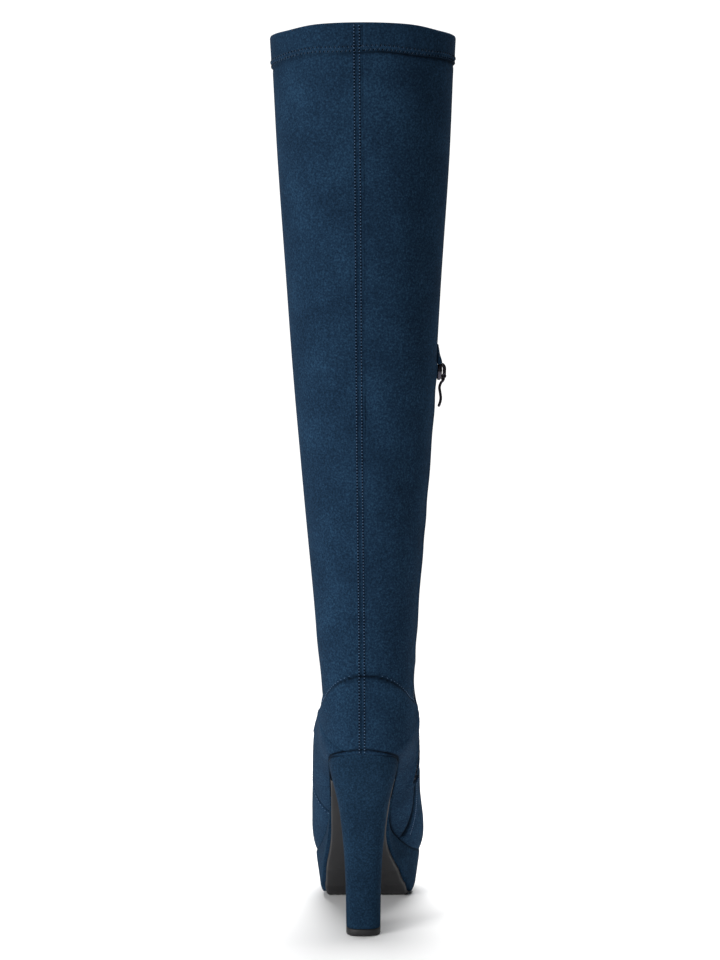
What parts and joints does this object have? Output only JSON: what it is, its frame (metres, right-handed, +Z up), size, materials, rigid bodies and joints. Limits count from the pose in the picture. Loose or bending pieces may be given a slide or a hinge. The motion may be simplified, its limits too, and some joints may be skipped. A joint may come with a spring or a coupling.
{
  "type": "thigh high boot",
  "caption": "Left thigh high boot with a stretch shaft, inner zip, covered platform and a high covered block heel.",
  "frame": {"origin": "on the floor under the middle of the heel tip", "axes": "+Z up the shaft, +Y from heel to toe, +X to the inner side of the left leg"},
  "size_m": [0.1446, 0.2628, 0.7],
  "materials": {
    "shaft_suede": "navy microsuede with a short nap",
    "heel_cover": "navy microsuede drawn over a hard block",
    "lining": "plain dark knit",
    "sole_rubber": "matt black",
    "zip_teeth": "matt navy coil",
    "zip_metal": "dark gunmetal"
  },
  "bodies": {
    "boot": {"upper": "shaft_suede", "quarter_panel": "shaft_suede", "vamp_panel": "shaft_suede", "insole": "lining", "platform": "shaft_suede", "outsole": "sole_rubber", "heel": "heel_cover", "heel_tip": "sole_rubber", "zip_chain": "zip_teeth", "zip_garage": "shaft_suede", "zip_slider": "zip_metal"},
    "pull_tab": {"zip_pull_tab": "zip_metal"}
  },
  "joints": [
    {"name": "pull_tab_hinge", "type": "hinge", "parent": "boot", "child": "pull_tab", "pos_m": [0.06321, 0.01331, 0.43747], "axis": [0, -1, 0], "range_deg": [0, 150]}
  ]
}
